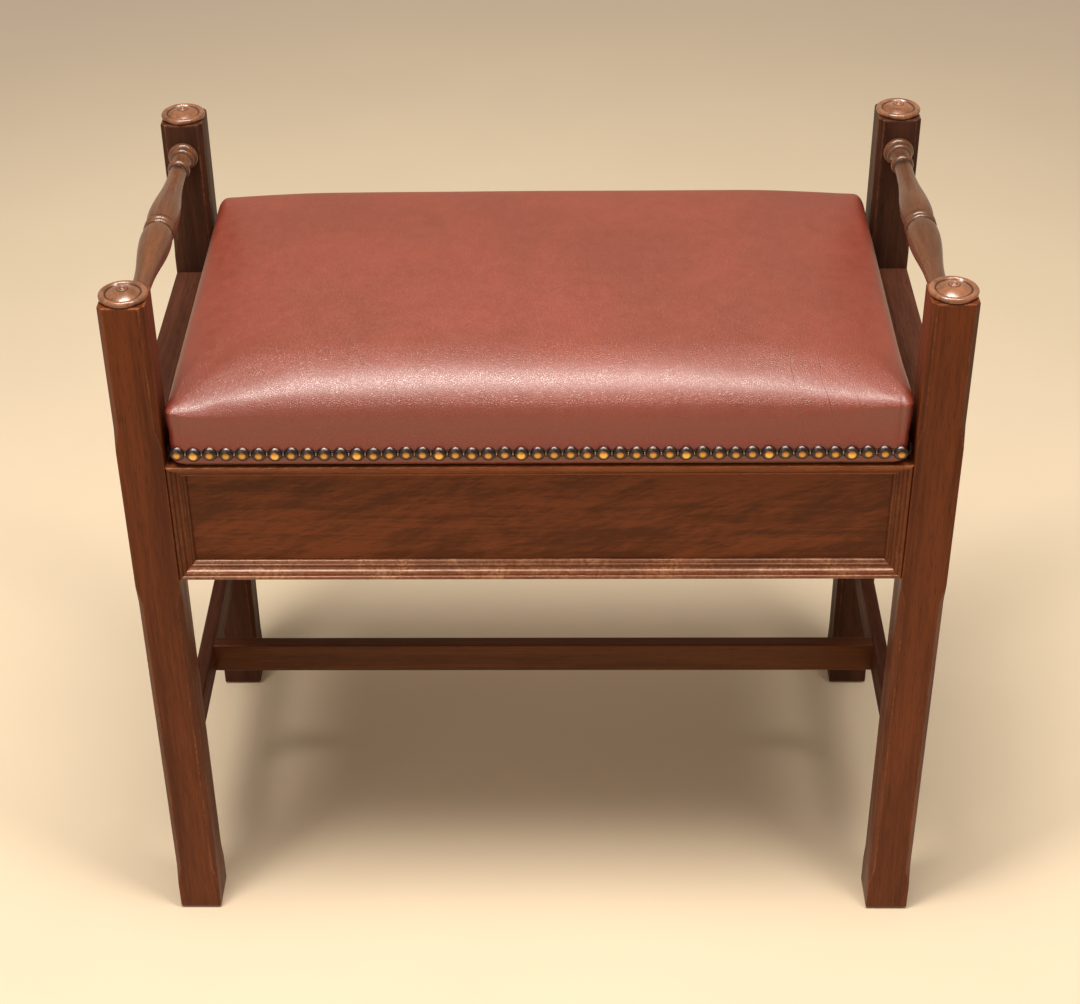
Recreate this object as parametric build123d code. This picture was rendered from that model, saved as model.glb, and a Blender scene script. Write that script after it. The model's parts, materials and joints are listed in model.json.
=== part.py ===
from build123d import *
import os
from math import acos, cos, radians, sin, sqrt

# Box-seat piano stool with turned hand rails and a hinged leather lid over a music compartment.
# Millimetres, +Z up, front towards -Y, origin on the floor under the middle of the stool.

# Posts and overall size
overall_width = 610  # over the posts' outer faces
overall_depth = 328
post_size = 34
post_height = 582
post_chamfer = 4  # leg of the stop chamfers on every corner
chamfer_stop = 18  # length over which a chamfer dies out to its point
foot_stop_height = 28  # point of the lowest stop above the floor
stop_above_rail = 15  # square post left above the rails
stop_below_rail = 5  # square post left below the rails
foot_easing = 2.5
post_top_easing = 1

# Turned roundels on the post tops
roundel_radius = 17.5
roundel_height = 7.8
roundel_rim_height = 3.6  # top of the rounded outer ring
roundel_dish_radius = 12.6  # domed middle inside the ring
roundel_groove = 0.7  # groove between them
roundel_ring_radius = 3.8  # small ring at the centre
roundel_undercut = 1.4
spigot_radius = 5

# Turned hand rails
hand_rail_drop = 26  # axis below the post top
dowel_radius = 6
dowel_length = 16
collar_radius = 11.9
collar_length = 7
collar_widest = 2.8  # widest point of the collar from the post
collar_bead_radius = 9.8
collar_bead_length = 4.5
cove_length = 12
neck_radius = 6.4
neck_swell = 0.15  # of the cove's middle over the neck
ring_radius = 8.9
ring_length = 6.5
vase_end_radius = 6.8
vase_taper_radius = 9.6
vase_taper_place = 50  # from the middle of the rail
belly_radius = 12.1
belly_place = 20  # widest point of the vase from the middle of the rail
middle_bead_radius = 12
middle_bead_length = 4.8
middle_groove_radius = 10.6

# Rails of the box
rail_top = 448
rail_height = 102
side_rail_thickness = 22
front_rail_thickness = 18
back_rail_thickness = 18
back_rail_setback = 8  # behind the posts' back faces, so that the hinges stay inside them
rail_easing = 1
tenon_thickness = 8
tenon_shoulder = 12
side_tenon_length = 20
tenon_wall = 4  # wood between two mortices that meet in one post
bearer_height = 18
lid_bearing = 8  # how far the bearers reach under the lid's ends

# Mitred moulding round the front panel
moulding_setback = 1  # behind the posts' front faces
moulding_width = 12.7
moulding_depth = 10
moulding_edge = 1.2  # how far the beads' edges fall back, and the thin inner edge
moulding_bead = 3.2
moulding_quirk = 0.6
moulding_quirk_depth = 2.2
moulding_ogee = 4.8
moulding_ogee_fall = 3.8
moulding_ogee_swell = 0.45  # of each curve of the ogee over its slope
moulding_small_bead = 2
moulding_small_bead_fall = 1
moulding_small_bead_swell = 0.4
moulding_cove = 0.75  # hollow between the small bead and the panel

# Compartment floor
cleat_width = 12
cleat_height = 10
floor_thickness = 6
floor_gap = 0.5

# H stretcher
stretcher_thickness = 12
stretcher_height = 28
stretcher_top = 156
stretcher_outset = 2  # side stretchers outside the posts' middle line
stretcher_easing = 1.5
stretcher_tenon_thickness = 6
stretcher_tenon_shoulder = 5
stretcher_tenon_length = 16
stretcher_tenon_wall = 4

# Lid
lid_gap = 0.3  # between the rails and the closed lid
lid_side_gap = 4  # between the leather and the posts, with room for the nail strip
lid_front_setback = 2
leather_thickness = 1.5
leather_turn_under = 18
lid_member_width = 45
lid_member_height = 20
lid_member_ease = 0.6  # between the wood and the leather
lid_corner_radius = 10
lid_tenon_thickness = 7
lid_tenon_length = 25
lining_thickness = 1
lining_gap = 0.5

# Webbing and stuffing
strap_width = 50
strap_thickness = 1.2
strap_hold = 30  # strap end on the lid frame
straps_across = 6
straps_along = 3
stuffing_gap = 0.3

# Upholstered form
seat_wall_height = 44  # from the lid's underside to the start of the rolled edge
seat_roll_radius = 22
seat_corner_roll = 7  # rolled edge at the lid's ends
seat_rise = 4  # along the length
seat_crown = 5  # across the depth
seat_end_crown = 1  # what is left of the crown at the lid's ends
seat_lean = 0.4  # walls leaning in above the lid frame, all round
seat_draw_in = 2  # and drawn in further between the corners
seat_corner_inset = 6
roll_steps = 5  # sections along each rolled end
rise_steps = 3  # and from there to the middle

# Nail strip
bead_pitch = 11.9
bead_radius = 5.7
bead_height = 3.2
bead_crown_radius = 2
bead_sides = 8
strip_width = 6
strip_thickness = 0.5
strip_end = 6  # from the lid's corner to the first dome
strip_height = 11.5  # middle of the strip above the lid's underside
nail_every = 5
nail_start = 1  # domes before the first real nail
nail_shank = 1.6
nail_length = 12

# Hinges
hinge_inset = 101  # middle of each hinge from the posts
leaf_length = 63
leaf_width = 16
leaf_thickness = 1.5
leaf_clearance = 0.3
knuckle_radius = 3
knuckle_count = 5
knuckle_gap = 0.3
pin_radius = 1.5
pin_clearance = 0.05
screw_head_radius = 2.8
screw_shank_radius = 1.2
screw_length = 10
screw_pitch = 21
screw_clearance = 0.1

joint_clearance = 0.1  # tenons in mortices
dowel_clearance = 0.2  # turned ends in their holes

# Places worked out from the sizes above
half_width = overall_width / 2
half_depth = overall_depth / 2
inner_x = half_width - post_size
inner_y = half_depth - post_size
post_x = half_width - post_size / 2
post_y = half_depth - post_size / 2
rail_bottom = rail_top - rail_height
side_rail_inner = half_width - side_rail_thickness
cross_tenon_length = post_size - side_rail_thickness / 2 - tenon_thickness / 2 - tenon_wall
moulding_front = -half_depth + moulding_setback
panel_face = moulding_front + moulding_depth
front_rail_inner = panel_face + front_rail_thickness
back_rail_face = half_depth - back_rail_setback
back_rail_inner = back_rail_face - back_rail_thickness
floor_bottom = rail_bottom + cleat_height
hand_rail_z = post_height - hand_rail_drop
spigot_length = hand_rail_drop - dowel_radius - tenon_wall
stretcher_x = post_x + stretcher_outset
stretcher_bottom = stretcher_top - stretcher_height
lid_bottom = rail_top + lid_gap
lid_half_width = inner_x - lid_side_gap
lid_front = -half_depth + lid_front_setback
lid_back = back_rail_face
lid_middle = (lid_front + lid_back) / 2
lid_half_depth = (lid_back - lid_front) / 2
member_bottom = lid_bottom + leather_thickness
member_top = member_bottom + lid_member_height
member_edge = leather_thickness + lid_member_ease  # from the leather's face to the wood
member_half_width = lid_half_width - member_edge
member_half_depth = lid_half_depth - member_edge
webbing_top = member_top + 2 * strap_thickness
nail_z = lid_bottom + strip_height
pivot_y = back_rail_face + knuckle_radius + leaf_clearance
pivot_z = rail_top + lid_gap / 2

sides = {"left": -1, "right": 1}
ends = {"front": -1, "back": 1}


def block(x, y, z):
    # A box between two values on each axis
    centre = Pos((x[0] + x[1]) / 2, (y[0] + y[1]) / 2, (z[0] + z[1]) / 2)
    return centre * Box(abs(x[1] - x[0]), abs(y[1] - y[0]), abs(z[1] - z[0]))


def around(middle, size):
    return middle - size / 2, middle + size / 2


# Tenons, also used a little larger as the mortices that take them


def side_rail_tenon(side, end, grow=0):
    return block(
        around(side * (half_width - side_rail_thickness / 2), tenon_thickness + 2 * grow),
        (end * inner_y, end * (inner_y + side_tenon_length + grow)),
        (rail_bottom + tenon_shoulder - grow, rail_top - tenon_shoulder + grow),
    )


def cross_rail_tenon(side, end, grow=0):
    middles = {-1: (panel_face + front_rail_inner) / 2, 1: (back_rail_face + back_rail_inner) / 2}
    return block(
        (side * inner_x, side * (inner_x + cross_tenon_length + grow)),
        around(middles[end], tenon_thickness + 2 * grow),
        (rail_bottom + tenon_shoulder - grow, rail_top - tenon_shoulder + grow),
    )


def stretcher_tenon_span(grow):
    low = stretcher_bottom + stretcher_tenon_shoulder
    high = stretcher_top - stretcher_tenon_shoulder
    return low - grow, high + grow


def side_stretcher_tenon(side, end, grow=0):
    return block(
        around(side * stretcher_x, stretcher_tenon_thickness + 2 * grow),
        (end * inner_y, end * (inner_y + stretcher_tenon_length + grow)),
        stretcher_tenon_span(grow),
    )


def cross_stretcher_tenon(side, grow=0):
    face = stretcher_x - stretcher_thickness / 2
    reach = stretcher_thickness - stretcher_tenon_wall
    return block(
        (side * face, side * (face + reach + grow)),
        around(0, stretcher_tenon_thickness + 2 * grow),
        stretcher_tenon_span(grow),
    )


def lid_tenon(side, end, grow=0):
    member_inner = lid_middle + end * (member_half_depth - lid_member_width)
    return block(
        around(side * (member_half_width - lid_member_width / 2), lid_member_width / 2 + 2 * grow),
        (member_inner, member_inner + end * (lid_tenon_length + grow)),
        around((member_bottom + member_top) / 2, lid_tenon_thickness + 2 * grow),
    )


# Posts, roundels and hand rails


def stop_chamfers(x, y, out_x, out_y):
    # Cutter for one corner: both runs of the chamfer, seen along the corner's own diagonal
    depth = post_chamfer / sqrt(2)
    corner = Plane(origin=(x, y, 0), x_dir=(-out_x, -out_y, 0), z_dir=(-out_y, out_x, 0))
    low = foot_stop_height
    high = rail_bottom - stop_below_rail
    start = rail_top + stop_above_rail
    over = post_height + post_chamfer
    leg_run = [
        (-depth, low),
        (0, low),
        (depth, low + chamfer_stop),
        (depth, high - chamfer_stop),
        (0, high),
        (-depth, high),
    ]
    arm_run = [(-depth, start), (0, start), (depth, start + chamfer_stop), (depth, over), (-depth, over)]
    runs = [make_face(Polyline(*points, close=True)) for points in (leg_run, arm_run)]
    return [extrude(corner * run, amount=post_chamfer, both=True) for run in runs]


def post(side, end):
    x = side * post_x
    y = end * post_y
    body = Pos(x, y, post_height / 2) * Box(post_size, post_size, post_height)
    body = chamfer(body.edges().group_by(Axis.Z)[0], foot_easing)
    body = chamfer(body.edges().group_by(Axis.Z)[-1], post_top_easing)
    for out_x in (-1, 1):
        for out_y in (-1, 1):
            body -= stop_chamfers(x + out_x * post_size / 2, y + out_y * post_size / 2, out_x, out_y)
    body -= side_rail_tenon(side, end, joint_clearance)
    body -= cross_rail_tenon(side, end, joint_clearance)
    body -= side_stretcher_tenon(side, end, joint_clearance)
    dowel_reach = dowel_length + dowel_clearance
    dowel_hole = Cylinder(dowel_radius + dowel_clearance, dowel_reach)
    body -= Pos(x, end * (inner_y + dowel_reach / 2), hand_rail_z) * Rot(90, 0, 0) * dowel_hole
    spigot_reach = spigot_length + dowel_clearance
    spigot_hole = Cylinder(spigot_radius + dowel_clearance, spigot_reach)
    return body - Pos(x, y, post_height - spigot_reach / 2) * spigot_hole


def cap_height(radius, rise, at):
    # Height of a round cap over its base, at a distance from its axis
    ball = (radius**2 + rise**2) / (2 * rise)
    return sqrt(ball**2 - at**2) - (ball - rise)


def roundel(side, end):
    # Half section: rounded ring, groove, domed middle, and a small ring round a centre button
    base = roundel_radius - roundel_undercut
    lip = roundel_dish_radius + roundel_groove
    groove = roundel_rim_height - roundel_groove
    rise = roundel_height - groove - roundel_groove
    dish = roundel_dish_radius
    ring = roundel_ring_radius
    eye = roundel_ring_radius / 2
    dish_middle = (dish + ring) / 2
    ring_foot = groove + cap_height(dish, rise, ring)
    eye_rise = roundel_height - ring_foot
    outline = Polyline((0, -spigot_length), (spigot_radius, -spigot_length), (spigot_radius, 0), (base, 0))
    outline += ThreePointArc((base, 0), (roundel_radius, roundel_rim_height / 2), (lip, roundel_rim_height))
    outline += Line((lip, roundel_rim_height), (dish, groove))
    outline += ThreePointArc(
        (dish, groove), (dish_middle, groove + cap_height(dish, rise, dish_middle)), (ring, ring_foot)
    )
    ring_crest = ((ring + eye) / 2, ring_foot + roundel_groove)
    outline += ThreePointArc((ring, ring_foot), ring_crest, (eye, ring_foot))
    outline += ThreePointArc(
        (eye, ring_foot), (eye / 2, ring_foot + cap_height(eye, eye_rise, eye / 2)), (0, roundel_height)
    )
    outline += Line((0, roundel_height), (0, -spigot_length))
    turned = revolve(Plane.XZ * make_face(outline), Axis.Z)
    return Pos(side * post_x, end * post_y, post_height) * turned


def hand_rail(side):
    # Half of the turning: radius along X, distance from the middle along Y
    collar_start = inner_y - collar_length
    collar_bead_start = collar_start - collar_bead_length
    cove_start = collar_bead_start - cove_length
    ring_start = cove_start - ring_length
    bead_end = middle_bead_length
    collar_lip = (collar_radius + neck_radius) / 2
    bead_lip = (collar_bead_radius + neck_radius) / 2
    cove_waist = neck_radius + neck_swell
    out_of_bead = (0.25, 1)
    along = (0, 1)
    outline = ThreePointArc(
        (middle_groove_radius, 0), (middle_bead_radius, bead_end / 2), (middle_groove_radius, bead_end)
    )
    vase = [
        (middle_groove_radius, bead_end),
        (belly_radius, belly_place),
        (vase_taper_radius, vase_taper_place),
        (vase_end_radius, ring_start),
    ]
    outline += Spline(vase, tangents=[out_of_bead, along])
    outline += ThreePointArc(
        (vase_end_radius, ring_start),
        (ring_radius, ring_start + ring_length / 2),
        (neck_radius, cove_start),
    )
    outline += ThreePointArc(
        (neck_radius, cove_start), (cove_waist, cove_start + cove_length / 2), (bead_lip, collar_bead_start)
    )
    outline += ThreePointArc(
        (bead_lip, collar_bead_start),
        (collar_bead_radius, collar_bead_start + collar_bead_length / 2),
        (collar_lip, collar_start),
    )
    outline += ThreePointArc(
        (collar_lip, collar_start), (collar_radius, inner_y - collar_widest), (collar_lip, inner_y)
    )
    outline += Polyline(
        (collar_lip, inner_y),
        (dowel_radius, inner_y),
        (dowel_radius, inner_y + dowel_length),
        (0, inner_y + dowel_length),
        (0, 0),
        (middle_groove_radius, 0),
    )
    half = revolve(make_face(outline), Axis.Y)
    return Pos(side * post_x, 0, hand_rail_z) * (half + mirror(half, about=Plane.XZ))


# Box of rails


def side_rail(side):
    body = block(
        (side * side_rail_inner, side * half_width), (-inner_y, inner_y), (rail_bottom, rail_top)
    )
    long_edges = body.edges().filter_by(Axis.Y).sort_by(Axis.X)
    outer_edges = long_edges[2:] if side > 0 else long_edges[:2]
    body = fillet(outer_edges, rail_easing)
    return body + side_rail_tenon(side, -1) + side_rail_tenon(side, 1)


def lid_bearer(side):
    bearer_inner = lid_half_width - lid_bearing
    return block(
        (side * bearer_inner, side * side_rail_inner),
        (-inner_y, inner_y),
        (rail_top - bearer_height, rail_top),
    )


def front_rail():
    body = block((-inner_x, inner_x), (panel_face, front_rail_inner), (rail_bottom, rail_top))
    return body + cross_rail_tenon(-1, -1) + cross_rail_tenon(1, -1)


def back_rail():
    body = block((-inner_x, inner_x), (back_rail_inner, back_rail_face), (rail_bottom, rail_top))
    body = fillet(body.edges().filter_by(Axis.X).group_by(Axis.Y)[-1].sort_by(Axis.Z)[:1], rail_easing)
    body += cross_rail_tenon(-1, 1) + cross_rail_tenon(1, 1)
    for side in sides.values():
        body -= leaf_recess(side, rail_top - leaf_thickness, rail_top)
        body -= [Pos(*place) * screw_hole(-1) for place in screw_places(side, rail_top)]
    return body


def moulding_outline():
    # Section: depth behind the bead's front along X, distance from the outer edge along Y
    edge = moulding_edge
    quirk = moulding_quirk_depth
    ogee_end = quirk + moulding_ogee_fall
    ogee_depth = quirk + moulding_ogee_fall / 2
    bead_end = ogee_end + moulding_small_bead_fall
    inner_edge = moulding_depth - edge
    ogee_low = moulding_bead + moulding_quirk
    ogee_middle = ogee_low + moulding_ogee / 2
    ogee_high = ogee_low + moulding_ogee
    bead_high = ogee_high + moulding_small_bead
    swell = ((quirk + ogee_depth) / 2 - moulding_ogee_swell, (ogee_low + ogee_middle) / 2)
    hollow = ((ogee_depth + ogee_end) / 2 + moulding_ogee_swell, (ogee_middle + ogee_high) / 2)
    bead_crest = (ogee_end - moulding_small_bead_swell, (ogee_high + bead_high) / 2)
    cove = ((bead_end + inner_edge) / 2 - moulding_cove / 2, (bead_high + moulding_width) / 2)
    outline = ThreePointArc((edge, 0), (0, moulding_bead / 2), (edge, moulding_bead))
    outline += Polyline((edge, moulding_bead), (quirk, moulding_bead), (quirk, ogee_low))
    outline += ThreePointArc((quirk, ogee_low), swell, (ogee_depth, ogee_middle))
    outline += ThreePointArc((ogee_depth, ogee_middle), hollow, (ogee_end, ogee_high))
    outline += ThreePointArc((ogee_end, ogee_high), bead_crest, (bead_end, bead_high))
    outline += ThreePointArc((bead_end, bead_high), cove, (inner_edge, moulding_width))
    outline += Polyline(
        (inner_edge, moulding_width), (moulding_depth, moulding_width), (moulding_depth, 0), (edge, 0)
    )
    return make_face(outline)


def moulding_stick(length):
    # Straight length along X: outer edge at z 0, front of the bead at y 0, mitred at both ends
    half = length / 2
    stick = extrude(Plane.YZ * moulding_outline(), amount=half, both=True)
    inner_half = half - moulding_width
    corners = [(-half, 0), (half, 0), (inner_half, moulding_width), (-inner_half, moulding_width)]
    mitre = make_face(Polyline(*corners, close=True))
    return stick & extrude(Plane.XZ * mitre, amount=-moulding_depth)


def mouldings():
    lengths = {"bottom": 2 * inner_x, "top": 2 * inner_x, "left": rail_height, "right": rail_height}
    rail_middle = (rail_bottom + rail_top) / 2
    places = {
        "bottom": Pos(0, moulding_front, rail_bottom),
        "top": Pos(0, moulding_front, rail_top) * Rot(0, 180, 0),
        "left": Pos(-inner_x, moulding_front, rail_middle) * Rot(0, 90, 0),
        "right": Pos(inner_x, moulding_front, rail_middle) * Rot(0, -90, 0),
    }
    return {name: places[name] * moulding_stick(length) for name, length in lengths.items()}


def floor_cleat_side(side):
    return block(
        (side * (side_rail_inner - cleat_width), side * side_rail_inner),
        (-inner_y, inner_y),
        (rail_bottom, floor_bottom),
    )


def floor_cleat_end(end):
    reach = min(inner_x, side_rail_inner - cleat_width)
    y = front_rail_inner if end < 0 else back_rail_inner
    return block((-reach, reach), (y, y - end * cleat_width), (rail_bottom, floor_bottom))


def compartment_floor():
    edge = side_rail_inner - floor_gap
    board = block(
        (-edge, edge),
        (front_rail_inner + floor_gap, back_rail_inner - floor_gap),
        (floor_bottom, floor_bottom + floor_thickness),
    )
    notch = Box(post_size + 2 * floor_gap, post_size + 2 * floor_gap, post_height)
    for side in sides.values():
        for end in ends.values():
            board -= Pos(side * post_x, end * post_y, post_height / 2) * notch
    return board


# H stretcher


def side_stretcher(side):
    body = block(
        around(side * stretcher_x, stretcher_thickness),
        (-inner_y, inner_y),
        (stretcher_bottom, stretcher_top),
    )
    body = fillet(body.edges().filter_by(Axis.Y), stretcher_easing)
    body += side_stretcher_tenon(side, -1) + side_stretcher_tenon(side, 1)
    return body - cross_stretcher_tenon(side, joint_clearance)


def cross_stretcher():
    face = stretcher_x - stretcher_thickness / 2
    body = block((-face, face), around(0, stretcher_thickness), (stretcher_bottom, stretcher_top))
    body = fillet(body.edges().filter_by(Axis.X), stretcher_easing)
    return body + cross_stretcher_tenon(-1) + cross_stretcher_tenon(1)


# Upholstered lid


def seat_section(x, inset):
    # Section of the upholstered form across the lid, at a place along its length
    flat = lid_half_width - seat_roll_radius
    roll = seat_roll_radius - inset
    over = min(max(abs(x) - flat, 0) / roll, 1)
    lift = sin(acos(over))
    along = min(abs(x) / flat, 1)
    wall_top = lid_bottom + seat_wall_height
    shoulder = wall_top + roll * lift + seat_rise * (1 - along**2)
    edge_roll = seat_corner_roll + (seat_roll_radius - seat_corner_roll) * lift - inset
    face = lid_half_depth - inset - seat_corner_inset * (1 - lift) ** 2
    drawn = face - seat_lean - seat_draw_in * (1 - along**2)
    crown = seat_end_crown + (seat_crown - seat_end_crown) * lift
    bend = edge_roll * (1 - sqrt(0.5))
    bottom = lid_bottom + inset
    section = Polyline((-drawn, shoulder - edge_roll), (-face, member_top), (-face, bottom), (face, bottom))
    section += Polyline((face, bottom), (face, member_top), (drawn, shoulder - edge_roll))
    top = drawn - edge_roll
    section += ThreePointArc((drawn, shoulder - edge_roll), (drawn - bend, shoulder - bend), (top, shoulder))
    section += ThreePointArc((top, shoulder), (0, shoulder + crown), (-top, shoulder))
    section += ThreePointArc(
        (-top, shoulder), (bend - drawn, shoulder - bend), (-drawn, shoulder - edge_roll)
    )
    return Plane.YZ.offset(x) * Pos(lid_middle, 0) * make_face(section)


def seat_form(inset):
    # The whole form, drawn in from its outer face by the inset
    flat = lid_half_width - seat_roll_radius
    roll = seat_roll_radius - inset
    rolled = [flat + roll * cos(radians(90 * step / roll_steps)) for step in range(roll_steps + 1)]
    inner = [flat * step / rise_steps for step in range(rise_steps - 1, 0, -1)]
    half = rolled + inner
    places = [-x for x in half] + [0] + half[::-1]
    return loft([seat_section(x, inset) for x in places], ruled=True)


def lid_outline(z):
    board = Pos(0, lid_middle, (z[0] + z[1]) / 2) * Box(
        2 * member_half_width, 2 * member_half_depth, z[1] - z[0]
    )
    return fillet(board.edges().filter_by(Axis.Z), lid_corner_radius)


def lid_member_long(end):
    far = lid_middle + end * member_half_depth
    layer = (member_bottom, member_top)
    reach = (-member_half_width, member_half_width)
    body = lid_outline(layer) & block(reach, (far, far - end * lid_member_width), layer)
    body -= [lid_tenon(side, end, joint_clearance) for side in sides.values()]
    body -= nail_holes()
    for side in sides.values():
        body -= leaf_recess(side, lid_bottom, lid_bottom + leaf_thickness)
        body -= [Pos(*place) * screw_hole(1) for place in screw_places(side, lid_bottom)]
    return body


def lid_member_side(side):
    reach = member_half_depth - lid_member_width
    body = block(
        (side * (member_half_width - lid_member_width), side * member_half_width),
        (lid_middle - reach, lid_middle + reach),
        (member_bottom, member_top),
    )
    body += lid_tenon(side, -1) + lid_tenon(side, 1)
    return body - nail_holes()


def webbing_across():
    reach = member_half_depth - lid_member_width + strap_hold
    spread = 2 * (member_half_width - lid_member_width)
    layer = (member_top, member_top + strap_thickness)
    straps = []
    for index in range(straps_across):
        x = spread * ((index + 0.5) / straps_across - 0.5)
        straps.append(block(around(x, strap_width), (lid_middle - reach, lid_middle + reach), layer))
    return Compound(children=straps)


def webbing_along():
    reach = member_half_width - lid_member_width + strap_hold
    spread = 2 * (member_half_depth - lid_member_width)
    layer = (member_top + strap_thickness, webbing_top)
    straps = []
    for index in range(straps_along):
        y = lid_middle + spread * ((index + 0.5) / straps_along - 0.5)
        straps.append(block((-reach, reach), around(y, strap_width), layer))
    return Compound(children=straps)


def stuffing():
    below = block(
        (-lid_half_width, lid_half_width), (lid_front, lid_back), (lid_bottom, webbing_top)
    )
    return seat_form(leather_thickness + stuffing_gap) - below


def leather_cover():
    cover = seat_form(0) - seat_form(leather_thickness)
    cover -= block(
        around(0, 2 * (lid_half_width - leather_turn_under)),
        (lid_front + leather_turn_under, lid_back - leather_turn_under),
        (lid_bottom, member_bottom),
    )
    cover -= nail_holes()
    for side in sides.values():
        cover -= leaf_recess(side, lid_bottom, lid_bottom + leaf_thickness)
    return cover


def underside_lining():
    edge = leather_turn_under + lining_gap
    return block(
        around(0, 2 * (lid_half_width - edge)),
        (lid_front + edge, lid_back - edge),
        (member_bottom - lining_thickness, member_bottom),
    )


# Nail strip: domes along one edge of the lid, of which every fifth is a nail


def edge_frames():
    # Middle of each edge at the strip's height, with the local -Y pointing outwards
    return {
        "front": Pos(0, lid_front, nail_z),
        "right": Pos(lid_half_width, lid_middle, nail_z) * Rot(0, 0, 90),
        "back": Pos(0, lid_back, nail_z) * Rot(0, 0, 180),
        "left": Pos(-lid_half_width, lid_middle, nail_z) * Rot(0, 0, -90),
    }


def dome_places(edge):
    half = lid_half_width if edge in ends else lid_half_depth
    span = 2 * (half - strip_end)
    steps = round(span / bead_pitch)
    return [span * (index / steps - 0.5) for index in range(steps + 1)]


def is_nail(index):
    return index % nail_every == nail_start


def dome(base):
    # Round cap in three rings
    sizes = (bead_radius, (bead_radius + bead_crown_radius) / 2, bead_crown_radius)
    rings = []
    for size in sizes:
        out = base + cap_height(bead_radius, bead_height, size)
        rings.append(Plane.XZ.offset(out) * RegularPolygon(size, bead_sides))
    return loft(rings, ruled=True)


def shank(grow=0):
    side = nail_shank + 2 * grow
    return block((-side / 2, side / 2), (-strip_thickness, nail_length + grow), (-side / 2, side / 2))


def nail_strip(edge):
    places = dome_places(edge)
    reach = places[-1] + strip_width / 2
    band = block((-reach, reach), (-strip_thickness, 0), around(0, strip_width))
    band -= [Pos(x, 0, 0) * shank(joint_clearance) for index, x in enumerate(places) if is_nail(index)]
    band += [Pos(x, 0, 0) * dome(0) for index, x in enumerate(places) if not is_nail(index)]
    return edge_frames()[edge] * band


def strip_nails(edge):
    nail = dome(strip_thickness) + shank()
    places = [x for index, x in enumerate(dome_places(edge)) if is_nail(index)]
    return Compound(children=[edge_frames()[edge] * Pos(x, 0, 0) * nail for x in places])


def nail_holes():
    holes = []
    for edge, frame in edge_frames().items():
        places = [x for index, x in enumerate(dome_places(edge)) if is_nail(index)]
        holes += [frame * Pos(x, 0, 0) * shank(joint_clearance) for x in places]
    return holes


# Butt hinges


def hinge_x(side):
    return side * (inner_x - hinge_inset)


def leaf_recess(side, low, high):
    return block(
        around(hinge_x(side), leaf_length + 2 * leaf_clearance),
        (back_rail_face - leaf_width - leaf_clearance, back_rail_face + knuckle_radius),
        (low, high),
    )


def screw_places(side, z):
    y = back_rail_face - leaf_width / 2
    return [(hinge_x(side) + step * screw_pitch, y, z) for step in (-1, 0, 1)]


def screw(direction, grow=0):
    # Countersunk screw with its flat head at z 0, pointing up or down
    head = screw_head_radius + grow
    shank_size = screw_shank_radius + grow
    tip = screw_length + grow
    outline = Polyline(
        (0, 0), (head, 0), (shank_size, leaf_thickness), (shank_size, tip), (0, tip), close=True
    )
    turned = revolve(Plane.XZ * make_face(outline), Axis.Z)
    return turned if direction > 0 else Rot(180, 0, 0) * turned


def screw_hole(direction):
    return screw(direction, screw_clearance)


def hinge_leaf(side, low, high, knuckles, direction):
    x0 = hinge_x(side) - leaf_length / 2
    leaf = block((x0, x0 + leaf_length), (back_rail_face - leaf_width, back_rail_face), (low, high))
    step = leaf_length / knuckle_count
    for index in knuckles:
        start = x0 + index * step + knuckle_gap / 2
        stop = x0 + (index + 1) * step - knuckle_gap / 2
        leaf += block((start, stop), (back_rail_face, pivot_y), (low, high))
        barrel = Rot(0, 90, 0) * Cylinder(knuckle_radius, stop - start)
        leaf += Pos((start + stop) / 2, pivot_y, pivot_z) * barrel
    bore = Rot(0, 90, 0) * Cylinder(pin_radius + pin_clearance, leaf_length)
    leaf -= Pos(hinge_x(side), pivot_y, pivot_z) * bore
    face = high if direction < 0 else low
    return leaf - [Pos(*place) * screw_hole(direction) for place in screw_places(side, face)]


def hinge_pin(side):
    pin = Rot(0, 90, 0) * Cylinder(pin_radius, leaf_length)
    return Pos(hinge_x(side), pivot_y, pivot_z) * pin


def hinge_screws(z, direction):
    places = [place for side in sides.values() for place in screw_places(side, z)]
    return Compound(children=[Pos(*place) * screw(direction) for place in places])


# All pieces by name

pieces = {
    "front_rail": front_rail(),
    "back_rail": back_rail(),
    "compartment_floor": compartment_floor(),
    "cross_stretcher": cross_stretcher(),
    "webbing_across": webbing_across(),
    "webbing_along": webbing_along(),
    "stuffing": stuffing(),
    "leather_cover": leather_cover(),
    "underside_lining": underside_lining(),
    "hinge_screws_frame": hinge_screws(rail_top, -1),
    "hinge_screws_lid": hinge_screws(lid_bottom, 1),
}
for name, solid in mouldings().items():
    pieces["moulding_" + name] = solid
for end_name, end in ends.items():
    pieces["floor_cleat_" + end_name] = floor_cleat_end(end)
    pieces["lid_member_" + end_name] = lid_member_long(end)
    for side_name, side in sides.items():
        pieces[f"post_{end_name}_{side_name}"] = post(side, end)
        pieces[f"roundel_{end_name}_{side_name}"] = roundel(side, end)
fixed_knuckles = range(0, knuckle_count, 2)
moving_knuckles = range(1, knuckle_count, 2)
for side_name, side in sides.items():
    pieces["hand_rail_" + side_name] = hand_rail(side)
    pieces["side_rail_" + side_name] = side_rail(side)
    pieces["lid_bearer_" + side_name] = lid_bearer(side)
    pieces["floor_cleat_" + side_name] = floor_cleat_side(side)
    pieces["side_stretcher_" + side_name] = side_stretcher(side)
    pieces["lid_member_" + side_name] = lid_member_side(side)
    pieces["hinge_pin_" + side_name] = hinge_pin(side)
    pieces["hinge_frame_leaf_" + side_name] = hinge_leaf(
        side, rail_top - leaf_thickness, rail_top, fixed_knuckles, -1
    )
    pieces["hinge_lid_leaf_" + side_name] = hinge_leaf(
        side, lid_bottom, lid_bottom + leaf_thickness, moving_knuckles, 1
    )
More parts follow.
